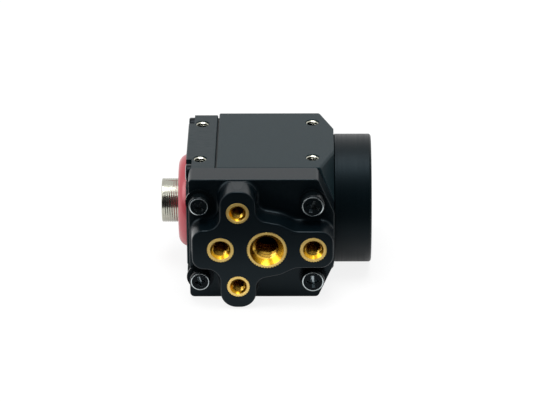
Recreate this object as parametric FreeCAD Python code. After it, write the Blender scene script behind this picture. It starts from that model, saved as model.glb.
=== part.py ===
import FreeCAD, Part
import math
import os

# Machine vision camera: a 29 mm cube camera with a threaded lens mount in
# front, a domed connector cap behind and a tripod plate screwed to one side.
#
# Frame, in millimetres: the origin is the centre of the lens-mount flange.
# +X leaves the lens opening along the optical axis, -Y leaves the tripod
# plate, and +Z is up as the camera lies on its side.

V = FreeCAD.Vector
X_AXIS = V(1, 0, 0)
Y_AXIS = V(0, 1, 0)
Z_AXIS = V(0, 0, 1)

# ---------------------------------------------------------------- sizes
# Housing
BODY_SIDE = 29.0            # square section of the front housing
BODY_EDGE = 0.3             # radius on the milled edges
SEAM_CHAMFER = 0.2          # broken edges at the seam between the housings
CORNER_CUT_LENGTH = 3.1     # how far the corner cuts run back along the body
CORNER_CUT_EDGE = 0.7       # rounded edges of the corner cuts
CORNER_CUT_LIP = 0.15       # flat left between the mount ring and a corner cut
WALL = 2.0                  # side walls round the electronics
POST_REACH = 4.9            # corner posts, measured in from the outer faces
POCKET_RADIUS = 1.0         # cutter radius in the corners of the pocket
BULKHEAD_WEB = 3.2          # wall behind the filter, which carries the boards

# Lens mount
MOUNT_LENGTH = 8.4          # ring in front of the housing
MOUNT_EDGE = 0.6            # rounded front edge
MOUNT_GROOVE = 0.25         # bevel that marks the joint with the housing
MOUNT_THREAD = 12.25        # radius at the crests of the 1-32 thread
MOUNT_THREAD_DEPTH = 5.8
LIGHT_BORE = 10.2           # radius of the light path behind the thread
SPIGOT_STEP = 1.3           # the part that enters the housing is this much slimmer
SPIGOT_LENGTH = 2.5

# Filter and sensor
FILTER_RIM = 0.7            # how far the filter reaches past the light bore
FILTER_THICK = 1.0
FILTER_SEAL = 0.3
WINDOW_LEDGE = 0.9          # ledge that the filter rests on
FLANGE_FOCUS = 17.526       # flange to the sensor's active face
DIE_WIDTH = 11.3
DIE_HEIGHT = 8.6
DIE_THICK = 0.3
PACKAGE_WIDTH = 15.6
PACKAGE_HEIGHT = 13.4
PACKAGE_RIM = 1.3           # wall of the package round its cavity
PACKAGE_DEPTH = 0.626       # cavity in front of the die
PACKAGE_FLOOR = 1.074
COVER_GLASS = 0.6

# Boards
BOARD_THICK = 1.6
BOARD_GAP = 0.25            # air between a board and the housing
POST_RADIUS = 1.7           # board posts and standoffs
POST_INSET = 2.1            # standoff axis in from the pocket wall
POST_GAP = 1.4              # between a standoff and the corner posts
FRONT_STANDOFF = 4.5
REAR_STANDOFF = 4.0
PROCESSOR_SIDE = 13.0
PROCESSOR_THICK = 1.4
MEMORY_WIDTH = 8.0
MEMORY_HEIGHT = 6.0
MEMORY_THICK = 1.0
LINK_WIDTH = 12.0           # board-to-board connectors
LINK_DEPTH = 2.6
LINK_TONGUE = 0.8
INDUCTOR_SIDE = 3.6
INDUCTOR_THICK = 1.0

# Small screws (M2) and side screws (M3)
M2_RADIUS = 1.0
M2_HEAD = 1.9
M2_HEAD_THICK = 1.3
M2_BOARD_HEAD = 1.6
M2_BOARD_HEAD_THICK = 1.0
M2_STUD = 2.4               # length of the small threads in posts and standoffs
CORNER_SCREW_INSET = 2.2    # rear screws in from the outer faces
CORNER_SCREW_GRIP = 6.4     # their length inside the front housing
M3_RADIUS = 1.5             # open side holes, at the roots of their thread
M3_CREST = 1.25             # crests of an M3 thread in a hole
M3_HEAD = 2.75
M3_HEAD_THICK = 2.4
M3_MOUTH = 0.15             # countersink at their mouths
SIDE_HOLE_INSET = 5.25      # side holes in from the edges of the body
FRONT_HOLE_SETBACK = 4.75   # front side holes behind the housing's front face
REAR_HOLE_SETBACK = 3.45    # rear side holes behind the seam
M3_GRIP = 3.3               # length of a plate screw inside the housing

# Pan heads and their cross recesses, as parts of the head's own size
PAN_RIM = 0.45              # height of the straight rim
PAN_SHOULDER = 0.86         # middle of the domed shoulder
PAN_FLAT = 0.5              # radius of the flat top
RECESS_DEPTH = 0.55
RECESS_ARM = 1.05           # length across the recess
RECESS_WIDTH = 0.28

# Rear housing and cap
SEAM = 0.3                  # height of the gasket between the housings
GASKET_INSET = 0.8
REAR_LENGTH = 6.6
REAR_STEP = 0.3             # rear housing lies this far inside the front one
LIP_LENGTH = 0.9            # rear housing's lip inside the front housing
LIP_WALL = 1.2
NOTCH_SIDE = 4.7            # corner notches for the screw heads
NOTCH_DEPTH = 1.3
CAP_DROP = 1.0              # the cap's axis lies this far towards the plate
CAP_BASE = 10.4             # red cap, radius at its foot
CAP_TOP = 8.6
CAP_FOOT = 0.25             # straight band at the foot
CAP_HEIGHT = 2.0
CAP_SPIGOT = 9.8
CAP_SPIGOT_LENGTH = 3.0
CAP_WEB = 1.3               # cap wall that the connector passes through
REAR_BORE = 7.6

# Round connector
PLUG_THREAD = 5.0           # M10 x 0.5 outside thread
PLUG_LENGTH = 3.9           # thread outside the cap
PLUG_EDGE = 0.3
PLUG_WALL = 1.0
PLUG_NECK = 0.2             # the neck through the cap and the tail are this much slimmer
PLUG_FLANGE = 6.85
PLUG_FLANGE_THICK = 1.3
PLUG_SEAL = 0.4
PLUG_RING_THICK = 1.8
PLUG_TAIL = 3.0             # shell behind its flange
PLUG_RECESS = 3.1           # rim to the face of the insulator
KEY_WIDTH = 1.2
KEY_HEIGHT = 0.6
PIN_RADIUS = 0.35
PIN_CIRCLE = 2.4
PIN_COUNT = 7
PIN_REACH = 2.2             # pins in front of the insulator

# Tripod plate
PLATE_THICK = 6.0
PLATE_REAR_INSET = 0.8      # plate ends this far before the rear housing does
PLATE_CORNER = 1.0
PLATE_EDGE = 0.25           # rounded front edge of the plate
PLATE_CUT_LENGTH = 3.6      # front corners, cut back like the housing's
BOSS_HEIGHT = 5.6
BOSS_DRAFT = 0.25           # wall offset over the boss height
BOSS_FOOT = 0.9             # fillet at the foot of the boss
BOSS_EDGE = 0.35            # rounded rim of the boss
BOSS_GAP = 0.35             # flat plate left between a washer and the rear arm
BOSS_REAR_END = 16.45       # ends of the boss, from the tripod insert
BOSS_FRONT_END = 14.6
BOSS_END_INSET = 0.3        # its upper and lower ends, in from the plate's edges
UPRIGHT_WIDTH = 7.8         # width of its upright arms
UPRIGHT_GAP = 0.5           # flat plate left between a washer and an upright arm
UPRIGHT_TO_TRIPOD = 6.35    # tripod insert ahead of the middle of the upright arms
FRONT_ARM_WIDTH = 8.9       # width of its front arm
M4_OFFSET = 10.2            # M4 inserts before and behind the tripod insert
M3_INSERT_INSET = 5.5       # M3 inserts in from the plate's edges
REAR_ARM_ROUND = 2.6        # corner radii of the boss: end of the rear arm
REAR_ARM_FILLET = 3.2       # rear arm into the upright arms
UPRIGHT_ROUND_SHARE = 0.45  # ends of the upright arms, as part of their width
SHOULDER_FILLET_SHARE = 0.375  # upright arms into the shoulder, as part of their free height
SHOULDER_ROUND = 4.0        # shoulder into the front arm
FRONT_ARM_ROUND = 3.0       # end of the front arm
SHOULDER_MARGIN = 1.7       # shoulder outside the tripod insert
SHOULDER_RISE = 1.1         # its slope at the upright arms
SHOULDER_END = 2.9          # its flat ends this far ahead of the tripod insert
FRONT_ARM_START = 6.2       # the front arm's straight sides start here
TRIPOD_BORE = 2.55          # 1/4-20 thread, radius at the crests
TRIPOD_OUTER = 4.45
TRIPOD_DEPTH = 8.0
M4_BORE = 1.65
M4_OUTER = 3.0
M4_INSERT_DEPTH = 7.0
M3_OUTER = 2.55
M3_INSERT_DEPTH = 6.0
INSERT_EDGE = 0.15
WASHER_OUTER = 3.0
WASHER_THICK = 0.5

# Clearances
THREAD_FIT = 0.05           # between a screw and its hole, drawn as cylinders
SLIDE_FIT = 0.05            # between turned parts that slide together
LIP_FIT = 0.1
SCREW_ROOM = 0.2            # clearance holes round screws
END_ROOM = 0.3              # free space past a head or a screw's end

# ------------------------------------------------------- derived places
HALF = BODY_SIDE / 2
MOUNT_RADIUS = HALF
REAR_HALF = HALF - REAR_STEP
POCKET_HALF = HALF - WALL
POST_EDGE = HALF - POST_REACH
FILTER_RADIUS = LIGHT_BORE + FILTER_RIM
WINDOW_RADIUS = FILTER_RADIUS - WINDOW_LEDGE
SPIGOT_RADIUS = MOUNT_RADIUS - SPIGOT_STEP
CORNER_CUT_SIDE = BODY_SIDE - math.sqrt(2) * (MOUNT_RADIUS + CORNER_CUT_LIP)
POST_Y = POCKET_HALF - POST_INSET
POST_SPREAD = POST_EDGE - POST_RADIUS - POST_GAP
CORNER_SCREW = HALF - CORNER_SCREW_INSET
SIDE_HOLE = HALF - SIDE_HOLE_INSET
M3_DEPTH = M3_GRIP + END_ROOM
M3_INSERT_Z = HALF - M3_INSERT_INSET
BOSS_SKIRT = BOSS_FOOT + BOSS_DRAFT
UPRIGHT_FREE = HALF - BOSS_END_INSET - TRIPOD_OUTER - SHOULDER_MARGIN - SHOULDER_RISE
UPRIGHT_ROUND = UPRIGHT_ROUND_SHARE * UPRIGHT_WIDTH
SHOULDER_FILLET = SHOULDER_FILLET_SHARE * UPRIGHT_FREE
REAR_ARM_HALF = SIDE_HOLE - WASHER_OUTER - BOSS_GAP - BOSS_SKIRT
PLUG_BORE = PLUG_THREAD - PLUG_WALL

X_FRONT = -MOUNT_LENGTH
X_SPIGOT = X_FRONT - SPIGOT_LENGTH
X_FILTER = X_SPIGOT - FILTER_SEAL
X_LEDGE = X_FILTER - FILTER_THICK
X_BULKHEAD = X_LEDGE - BULKHEAD_WEB
X_DIE = -FLANGE_FOCUS
X_PACKAGE = X_DIE + PACKAGE_DEPTH
X_SENSOR_BOARD = X_DIE - DIE_THICK - PACKAGE_FLOOR
X_SENSOR_BACK = X_SENSOR_BOARD - BOARD_THICK
X_PROCESSOR_BOARD = X_SENSOR_BACK - FRONT_STANDOFF
X_PROCESSOR_BACK = X_PROCESSOR_BOARD - BOARD_THICK
X_INTERFACE_BOARD = X_PROCESSOR_BACK - REAR_STANDOFF
X_INTERFACE_BACK = X_INTERFACE_BOARD - BOARD_THICK
X_SEAM = X_INTERFACE_BACK - M2_BOARD_HEAD_THICK - END_ROOM - LIP_LENGTH
X_REAR_FRONT = X_SEAM - SEAM
X_REAR = X_REAR_FRONT - REAR_LENGTH
X_NOTCH = X_REAR + NOTCH_DEPTH
X_CAP = X_REAR - CAP_HEIGHT
X_WEB = X_CAP + CAP_WEB
X_FLANGE = X_WEB + PLUG_SEAL
X_RING = X_FLANGE + PLUG_FLANGE_THICK
X_TIP = X_CAP - PLUG_LENGTH
X_SOCKET = X_TIP + PLUG_RECESS
X_TAIL = X_RING + PLUG_TAIL
Y_CAP = -CAP_DROP
X_FRONT_HOLES = X_FRONT - FRONT_HOLE_SETBACK
X_REAR_HOLES = X_REAR_FRONT - REAR_HOLE_SETBACK
X_PLATE = X_REAR + PLATE_REAR_INSET
X_UPRIGHT = X_REAR_HOLES + WASHER_OUTER + UPRIGHT_GAP + BOSS_SKIRT + UPRIGHT_WIDTH / 2
X_TRIPOD = X_UPRIGHT + UPRIGHT_TO_TRIPOD

Y_PLATE = -HALF - PLATE_THICK
Y_BOSS = Y_PLATE - BOSS_HEIGHT


# -------------------------------------------------------------- helpers
def cylinder(radius, start, end):
    """Round bar from one point to another."""
    run = end - start
    return Part.makeCylinder(radius, run.Length, start, run)


def bar(radius, x_low, x_high, y=0.0, z=0.0):
    """Round bar along the optical axis."""
    return cylinder(radius, V(x_low, y, z), V(x_high, y, z))


def tube(outer, inner, x_low, x_high):
    """Ring on the optical axis."""
    return bar(outer, x_low, x_high).cut(bar(inner, x_low, x_high))


def on_cap_axis(shape):
    """The shape, moved from the optical axis to the axis of the cap and connector."""
    return shape.translated(V(0, Y_CAP, 0))


def block(x_low, x_high, width, height, y=0.0, z=0.0):
    """Box between two stations, centred on (y, z)."""
    corner = V(x_low, y - width / 2, z - height / 2)
    return Part.makeBox(x_high - x_low, width, height, corner)


def turned(profile):
    """Solid turned about the optical axis from (x, radius) points."""
    points = [V(x, radius, 0) for x, radius in profile]
    face = Part.Face(Part.makePolygon(points + points[:1]))
    return face.revolve(V(0, 0, 0), X_AXIS, 360)


def fused(solids):
    """One solid from several that touch or overlap."""
    first = solids[0]
    return first.multiFuse(solids[1:]).removeSplitter()


def group(solids):
    """Separate like solids kept as one sub-part."""
    return Part.makeCompound(solids)


def rounded_loop(corners, radii, place):
    """Wire of straight runs and tangent arcs; place lifts (u, v) to 3-D."""
    starts, edges = [], []
    count = len(corners)
    for i in range(count):
        here = V(corners[i][0], corners[i][1], 0)
        before = V(corners[i - 1][0], corners[i - 1][1], 0)
        after = V(corners[(i + 1) % count][0], corners[(i + 1) % count][1], 0)
        back = (before - here).normalize()
        ahead = (after - here).normalize()
        half_angle = back.getAngle(ahead) / 2
        reach = radii[i] / math.tan(half_angle)
        bisector = (back + ahead).normalize()
        middle = here + bisector * (radii[i] / math.sin(half_angle) - radii[i])
        starts.append((here + back * reach, middle, here + ahead * reach))
    for i in range(count):
        enter, middle, leave = [place(p.x, p.y) for p in starts[i]]
        following = starts[(i + 1) % count][0]
        if radii[i] > 0:
            edges.append(Part.Arc(enter, middle, leave).toShape())
        edges.append(Part.LineSegment(leave, place(following.x, following.y)).toShape())
    return Part.Wire(edges)


def grown(corners, offset):
    """The same outline with every side moved outwards (corners clockwise)."""
    count = len(corners)
    result = []
    for i in range(count):
        here = V(corners[i][0], corners[i][1], 0)
        before = V(corners[i - 1][0], corners[i - 1][1], 0)
        after = V(corners[(i + 1) % count][0], corners[(i + 1) % count][1], 0)
        arrive = (here - before).normalize()
        leave = (after - here).normalize()
        out_a = V(-arrive.y, arrive.x, 0)
        out_b = V(-leave.y, leave.x, 0)
        move = (out_a + out_b) * (offset / (1 + out_a.dot(out_b)))
        result.append((here.x + move.x, here.y + move.y))
    return result


def across(x):
    """Places an outline in the plane square to the optical axis at x."""
    return lambda u, v: V(x, u, v)


def facing_plate(y):
    """Places an outline in the plane of the tripod plate at y."""
    return lambda u, v: V(u, y, v)


def prism(corners, radii, x_low, x_high):
    """Outline extruded along the optical axis."""
    face = Part.Face(rounded_loop(corners, radii, across(x_low)))
    return face.extrude(V(x_high - x_low, 0, 0))


def square(half):
    """Corners of a square, clockwise."""
    return [(-half, -half), (-half, half), (half, half), (half, -half)]


def cross_outline(half, post_edge):
    """Square with its corners notched out, clockwise."""
    return [
        (-half, -post_edge), (-half, post_edge), (-post_edge, post_edge),
        (-post_edge, half), (post_edge, half), (post_edge, post_edge),
        (half, post_edge), (half, -post_edge), (post_edge, -post_edge),
        (post_edge, -half), (-post_edge, -half), (-post_edge, -post_edge)]


def end_edges(solid, x):
    """Edges of a solid that lie in the plane at x."""
    return [e for e in solid.Edges
            if abs(e.BoundBox.XMin - x) < 1e-4 and abs(e.BoundBox.XMax - x) < 1e-4]


def quarters(reach_y, reach_z):
    """The four places at plus and minus two reaches."""
    return [(sy * reach_y, sz * reach_z) for sy in (-1, 1) for sz in (-1, 1)]


def pan_screw(radius, head_radius, head_thick, length, recess):
    """Pan-head screw, seated at the origin, facing +Z; a recess of no depth leaves it plain."""
    rim = V(head_radius, 0, head_thick * PAN_RIM)
    flat = V(head_radius * PAN_FLAT, 0, head_thick)
    crown = Part.Arc(rim, V(head_radius * PAN_SHOULDER, 0, head_thick * PAN_SHOULDER), flat).toShape()
    foot = Part.makePolygon([V(0, 0, 0), V(head_radius, 0, 0), rim])
    top = Part.makePolygon([flat, V(0, 0, head_thick), V(0, 0, 0)])
    head = Part.Face(Part.Wire(foot.Edges + [crown] + top.Edges)).revolve(V(0, 0, 0), Z_AXIS, 360)
    shank = Part.makeCylinder(radius, length, V(0, 0, 0), -Z_AXIS)
    screw = fused([head, shank])
    if recess == 0:
        return screw
    arm = head_radius * RECESS_ARM
    width = head_radius * RECESS_WIDTH
    for size_x, size_y in ((arm, width), (width, arm)):
        corner = V(-size_x / 2, -size_y / 2, head_thick - recess)
        screw = screw.cut(Part.makeBox(size_x, size_y, 2 * recess, corner))
    return screw


def placed(shape, place, direction):
    """Copy of a shape whose +Z is turned to a direction and moved to a place."""
    copy = shape.copy()
    copy.Placement = FreeCAD.Placement(place, FreeCAD.Rotation(Z_AXIS, direction))
    return copy


# ----------------------------------------------------- front housing
def side_holes(x, half):
    """Two blind M3 holes in each side face; the pair under the plate carries its screws."""
    tools = []
    for outward, lateral in ((Z_AXIS, Y_AXIS), (-Z_AXIS, Y_AXIS), (Y_AXIS, Z_AXIS), (-Y_AXIS, Z_AXIS)):
        filled = outward == -Y_AXIS
        radius = M3_CREST + THREAD_FIT if filled else M3_RADIUS
        for side in (-1, 1):
            mouth = outward * half + lateral * (side * SIDE_HOLE) + X_AXIS * x
            tools.append(cylinder(radius, mouth + outward, mouth - outward * M3_DEPTH))
            rim = M3_RADIUS + 2 * M3_MOUTH
            cone = Part.makeCone(rim, M3_RADIUS, 2 * M3_MOUTH, mouth + outward * M3_MOUTH, -outward)
            tools.append(cone)
    return tools


def corner_cut(sign_y, sign_z):
    """Big block whose face is the sloping cut over one front corner."""
    apex = V(X_FRONT - CORNER_CUT_LENGTH, sign_y * HALF, sign_z * HALF)
    on_y = V(X_FRONT, sign_y * HALF, sign_z * (HALF - CORNER_CUT_SIDE))
    on_z = V(X_FRONT, sign_y * (HALF - CORNER_CUT_SIDE), sign_z * HALF)
    normal = (on_y - apex).cross(on_z - apex)
    if normal.x < 0:
        normal = -normal
    size = BODY_SIDE
    tool = Part.makeBox(size, size, size, V(-size / 2, -size / 2, 0))
    return placed(tool, apex, normal)


def front_housing():
    """Milled block, open behind, with its front corners cut away."""
    body = block(X_SEAM, X_FRONT, BODY_SIDE, BODY_SIDE)
    for sign_y, sign_z in quarters(1, 1):
        body = body.cut(corner_cut(sign_y, sign_z))
    back = X_FRONT - CORNER_CUT_LENGTH
    slanted = [e for e in body.Edges if abs(e.BoundBox.XMin - back) < 1e-4 and e.BoundBox.XMax > back + 1]
    body = body.makeFillet(CORNER_CUT_EDGE, slanted)
    long = [e for e in body.Edges if abs(e.BoundBox.XMin - X_SEAM) < 1e-4 and e.BoundBox.XMax > X_SEAM + 1]
    body = body.makeFillet(BODY_EDGE, long)
    body = body.makeChamfer(SEAM_CHAMFER, end_edges(body, X_SEAM))
    radii = [POCKET_RADIUS, POCKET_RADIUS, 0] * 4
    pocket = prism(cross_outline(POCKET_HALF, POST_EDGE), radii, X_SEAM, X_BULKHEAD)
    body = body.cut(pocket)
    body = body.fuse([bar(POST_RADIUS, X_SENSOR_BOARD, X_BULKHEAD, y, z)
                      for y, z in quarters(POST_Y, POST_SPREAD)])
    tools = [bar(SPIGOT_RADIUS + SLIDE_FIT, X_SPIGOT, X_FRONT),
             bar(FILTER_RADIUS + SLIDE_FIT, X_LEDGE, X_SPIGOT),
             bar(WINDOW_RADIUS, X_BULKHEAD, X_LEDGE)]
    tools += side_holes(X_FRONT_HOLES, HALF)
    stud_end = X_SENSOR_BOARD + M2_STUD + END_ROOM
    tools += [bar(M2_RADIUS + THREAD_FIT, X_SENSOR_BOARD, stud_end, y, z)
              for y, z in quarters(POST_Y, POST_SPREAD)]
    grip_end = X_SEAM + CORNER_SCREW_GRIP + END_ROOM
    tools += [bar(M2_RADIUS + THREAD_FIT, X_SEAM, grip_end, y, z)
              for y, z in quarters(CORNER_SCREW, CORNER_SCREW)]
    return body.cut(tools).removeSplitter()


# --------------------------------------------------------- lens mount
def lens_mount_ring():
    """Turned ring with the lens thread, and a spigot into the housing."""
    profile = [
        (X_SPIGOT, LIGHT_BORE), (X_SPIGOT, SPIGOT_RADIUS), (X_FRONT, SPIGOT_RADIUS),
        (X_FRONT, MOUNT_RADIUS - MOUNT_GROOVE), (X_FRONT + MOUNT_GROOVE, MOUNT_RADIUS),
        (0, MOUNT_RADIUS), (0, MOUNT_THREAD),
        (-MOUNT_THREAD_DEPTH, MOUNT_THREAD), (-MOUNT_THREAD_DEPTH, LIGHT_BORE)]
    ring = turned(profile)
    rim = [e for e in end_edges(ring, 0) if abs(e.BoundBox.YMax - MOUNT_RADIUS) < 1e-4]
    return ring.makeFillet(MOUNT_EDGE, rim)


def filter_seal():
    """Thin ring that the mount presses on the filter."""
    return tube(FILTER_RADIUS, LIGHT_BORE, X_FILTER, X_SPIGOT)


def filter_glass():
    """Round infrared-cut filter on its ledge."""
    return bar(FILTER_RADIUS, X_LEDGE, X_FILTER)


# ------------------------------------------------------------- sensor
def sensor_package():
    """Ceramic package with the cavity for the die."""
    body = block(X_SENSOR_BOARD, X_PACKAGE, PACKAGE_WIDTH, PACKAGE_HEIGHT)
    cavity = block(X_DIE - DIE_THICK, X_PACKAGE,
                   PACKAGE_WIDTH - 2 * PACKAGE_RIM, PACKAGE_HEIGHT - 2 * PACKAGE_RIM)
    return body.cut(cavity)


def sensor_die():
    """Silicon die on the floor of the package."""
    return block(X_DIE - DIE_THICK, X_DIE, DIE_WIDTH, DIE_HEIGHT)


def sensor_cover_glass():
    """Glass lid sealed on the package rim."""
    return block(X_PACKAGE, X_PACKAGE + COVER_GLASS,
                 PACKAGE_WIDTH - PACKAGE_RIM, PACKAGE_HEIGHT - PACKAGE_RIM)


# ------------------------------------------------------------- boards
def board(x_front):
    """Circuit board, notched round the corner posts, with four screw holes."""
    outline = cross_outline(POCKET_HALF - BOARD_GAP, POST_EDGE - BOARD_GAP)
    radii = [POCKET_RADIUS, POCKET_RADIUS, 0] * 4
    plate = prism(outline, radii, x_front - BOARD_THICK, x_front)
    holes = [bar(M2_RADIUS + SCREW_ROOM, x_front - BOARD_THICK, x_front, y, z)
             for y, z in quarters(POST_Y, POST_SPREAD)]
    return plate.cut(holes)


def interface_board():
    """Rear board, with a plated hole for each pin of the connector."""
    holes = [bar(PIN_RADIUS + THREAD_FIT, X_INTERFACE_BACK, X_INTERFACE_BOARD, y, z)
             for y, z in pin_places()]
    return board(X_INTERFACE_BOARD).cut(holes)


def standoff(x_front, length, stud):
    """Round spacer with a stud ahead through a board and a thread behind."""
    body = bar(POST_RADIUS, x_front - length, x_front)
    stud_bar = bar(M2_RADIUS, x_front, x_front + stud)
    thread = bar(M2_RADIUS + THREAD_FIT, x_front - length, x_front - length + M2_STUD + END_ROOM)
    return fused([body, stud_bar]).cut(thread)


def standoffs(x_front, length, stud):
    """One spacer at each board post."""
    single = standoff(x_front, length, stud)
    return group([single.translated(V(0, y, z)) for y, z in quarters(POST_Y, POST_SPREAD)])


def board_screws():
    """Pan screws that hold the rear board, with their hidden recesses left out."""
    length = BOARD_THICK + M2_STUD
    screw = pan_screw(M2_RADIUS, M2_BOARD_HEAD, M2_BOARD_HEAD_THICK, length, 0)
    return group([placed(screw, V(X_INTERFACE_BACK, y, z), -X_AXIS)
                  for y, z in quarters(POST_Y, POST_SPREAD)])


def link_place():
    """Height of the board-to-board connectors above the axis."""
    return POCKET_HALF - BOARD_GAP - LINK_DEPTH / 2 - END_ROOM


def link_plug(x_board, gap, side):
    """Half of a board-to-board connector, with its tongue towards the rear."""
    z = side * link_place()
    body = block(x_board - gap / 2, x_board, LINK_WIDTH, LINK_DEPTH, 0, z)
    tongue = block(x_board - gap * 0.75, x_board - gap / 2, LINK_WIDTH - 2, LINK_TONGUE, 0, z)
    return fused([body, tongue])


def link_socket(x_board, gap, side):
    """The other half, with the slot that takes the tongue."""
    z = side * link_place()
    body = block(x_board - gap, x_board - gap / 2, LINK_WIDTH, LINK_DEPTH, 0, z)
    slot = block(x_board - gap * 0.8, x_board - gap / 2,
                 LINK_WIDTH - 2 + 2 * SLIDE_FIT, LINK_TONGUE + 2 * SLIDE_FIT, 0, z)
    return body.cut(slot)


def image_processor():
    """Processor package on the front of the middle board."""
    return block(X_PROCESSOR_BOARD, X_PROCESSOR_BOARD + PROCESSOR_THICK,
                 PROCESSOR_SIDE, PROCESSOR_SIDE)


def memory_chip(side):
    """Memory package on the back of the middle board."""
    y = side * (MEMORY_WIDTH + 1) / 2
    return block(X_PROCESSOR_BACK - MEMORY_THICK, X_PROCESSOR_BACK,
                 MEMORY_WIDTH, MEMORY_HEIGHT, y, 0)


def power_inductor(side):
    """Shielded coil on the back of the rear board."""
    y = Y_CAP + side * (PIN_CIRCLE + PIN_RADIUS + 1 + INDUCTOR_SIDE / 2)
    body = block(X_INTERFACE_BACK - INDUCTOR_THICK, X_INTERFACE_BACK,
                 INDUCTOR_SIDE, INDUCTOR_SIDE, y, 0)
    return body


# ------------------------------------------------------- rear housing
def housing_gasket():
    """Flat gasket, set back in the seam between the housings."""
    sheet = prism(square(HALF - GASKET_INSET), [BODY_EDGE] * 4, X_REAR_FRONT, X_SEAM)
    radii = [POCKET_RADIUS, POCKET_RADIUS, 0] * 4
    opening = prism(cross_outline(POCKET_HALF, POST_EDGE), radii, X_REAR_FRONT, X_SEAM)
    holes = [bar(M2_RADIUS + THREAD_FIT, X_REAR_FRONT, X_SEAM, y, z)
             for y, z in quarters(CORNER_SCREW, CORNER_SCREW)]
    return sheet.cut([opening] + holes)


def rear_housing():
    """Milled frame that closes the housing and carries the cap."""
    body = prism(square(REAR_HALF), [BODY_EDGE] * 4, X_REAR, X_REAR_FRONT)
    body = body.makeChamfer(SEAM_CHAMFER, end_edges(body, X_REAR_FRONT) + end_edges(body, X_REAR))
    lip_half = POCKET_HALF - LIP_FIT
    lip_edge = POST_EDGE - LIP_FIT
    radii = [POCKET_RADIUS, POCKET_RADIUS, 0] * 4
    lip = prism(cross_outline(lip_half, lip_edge), radii, X_REAR_FRONT, X_SEAM + LIP_LENGTH)
    hollow = prism(cross_outline(lip_half - LIP_WALL, lip_edge - LIP_WALL), [0] * 12,
                   X_REAR_FRONT, X_SEAM + LIP_LENGTH)
    body = body.fuse(lip.cut(hollow))
    spigot_end = X_REAR + CAP_SPIGOT_LENGTH
    tools = [on_cap_axis(bar(CAP_SPIGOT + SLIDE_FIT, X_REAR, spigot_end)),
             on_cap_axis(bar(REAR_BORE, spigot_end, X_REAR_FRONT))]
    for y, z in quarters(1, 1):
        corner = REAR_HALF - NOTCH_SIDE / 2
        tools.append(block(X_REAR, X_NOTCH, NOTCH_SIDE, NOTCH_SIDE, y * corner, z * corner))
        tools.append(bar(M2_RADIUS + THREAD_FIT, X_NOTCH, X_REAR_FRONT,
                         y * CORNER_SCREW, z * CORNER_SCREW))
    tools += side_holes(X_REAR_HOLES, REAR_HALF)
    return body.cut(tools).removeSplitter()


def rear_screws():
    """Four M2 screws in the corner notches, through to the front housing."""
    length = (X_REAR_FRONT - X_NOTCH) + SEAM + CORNER_SCREW_GRIP
    screw = pan_screw(M2_RADIUS, M2_HEAD, M2_HEAD_THICK, length, M2_HEAD_THICK * RECESS_DEPTH)
    return group([placed(screw, V(X_NOTCH, y, z), -X_AXIS)
                  for y, z in quarters(CORNER_SCREW, CORNER_SCREW)])


# ---------------------------------------------------- cap and connector
def back_cap():
    """Domed round cap with a spigot and a pocket for the connector flange."""
    spigot_end = X_REAR + CAP_SPIGOT_LENGTH
    outline = [V(spigot_end, CAP_SPIGOT, 0), V(X_REAR, CAP_SPIGOT, 0),
               V(X_REAR, CAP_BASE, 0), V(X_REAR - CAP_FOOT, CAP_BASE, 0)]
    rise = CAP_HEIGHT - CAP_FOOT
    fall = CAP_BASE - CAP_TOP
    crown_end = V(X_CAP, CAP_TOP, 0)
    crown_middle = V(X_REAR - CAP_FOOT - rise * 0.62, CAP_BASE - fall * 0.36, 0)
    crown = Part.Arc(outline[-1], crown_middle, crown_end).toShape()
    inside = [crown_end, V(X_CAP, PLUG_THREAD + SLIDE_FIT, 0), V(X_WEB, PLUG_THREAD + SLIDE_FIT, 0),
              V(X_WEB, PLUG_FLANGE + SLIDE_FIT, 0), V(spigot_end, PLUG_FLANGE + SLIDE_FIT, 0),
              outline[0]]
    edges = Part.makePolygon(outline).Edges + [crown] + Part.makePolygon(inside).Edges
    return on_cap_axis(Part.Face(Part.Wire(edges)).revolve(V(0, 0, 0), X_AXIS, 360))


def connector_seal():
    """Flat ring between the cap and the connector flange."""
    return on_cap_axis(tube(PLUG_FLANGE, PLUG_THREAD + SLIDE_FIT, X_WEB, X_FLANGE))


def connector_shell():
    """Threaded shell of the round connector, with its flange and key."""
    neck = PLUG_THREAD - PLUG_NECK
    profile = [(X_TIP, PLUG_BORE), (X_TIP, PLUG_THREAD), (X_CAP, PLUG_THREAD),
               (X_CAP, neck), (X_FLANGE, neck), (X_FLANGE, PLUG_FLANGE),
               (X_RING, PLUG_FLANGE), (X_RING, neck), (X_TAIL, neck), (X_TAIL, PLUG_BORE)]
    shell = turned(profile)
    shell = shell.makeFillet(PLUG_EDGE, end_edges(shell, X_TIP))
    key = block(X_TIP + 2 * PLUG_EDGE, X_SOCKET, 2 * KEY_HEIGHT, KEY_WIDTH, PLUG_BORE, 0)
    key = key.common(bar(PLUG_BORE + PLUG_WALL / 2, X_TIP, X_SOCKET))
    return on_cap_axis(fused([shell, key]))


def connector_ring():
    """Retaining ring behind the flange."""
    inner = PLUG_THREAD - PLUG_NECK + THREAD_FIT
    return on_cap_axis(tube(PLUG_FLANGE, inner, X_RING, X_RING + PLUG_RING_THICK))


def pin_places():
    """Centre pin and the circle of pins round it."""
    around = PIN_COUNT - 1
    places = [(Y_CAP, 0.0)]
    for i in range(around):
        angle = math.radians(360.0 * (i + 0.5) / around)
        places.append((Y_CAP + PIN_CIRCLE * math.sin(angle), PIN_CIRCLE * math.cos(angle)))
    return places


def connector_insulator():
    """Insulating body that holds the pins."""
    body = on_cap_axis(bar(PLUG_BORE - SLIDE_FIT, X_SOCKET, X_TAIL))
    return body.cut([bar(PIN_RADIUS, X_SOCKET, X_TAIL, y, z) for y, z in pin_places()])


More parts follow.
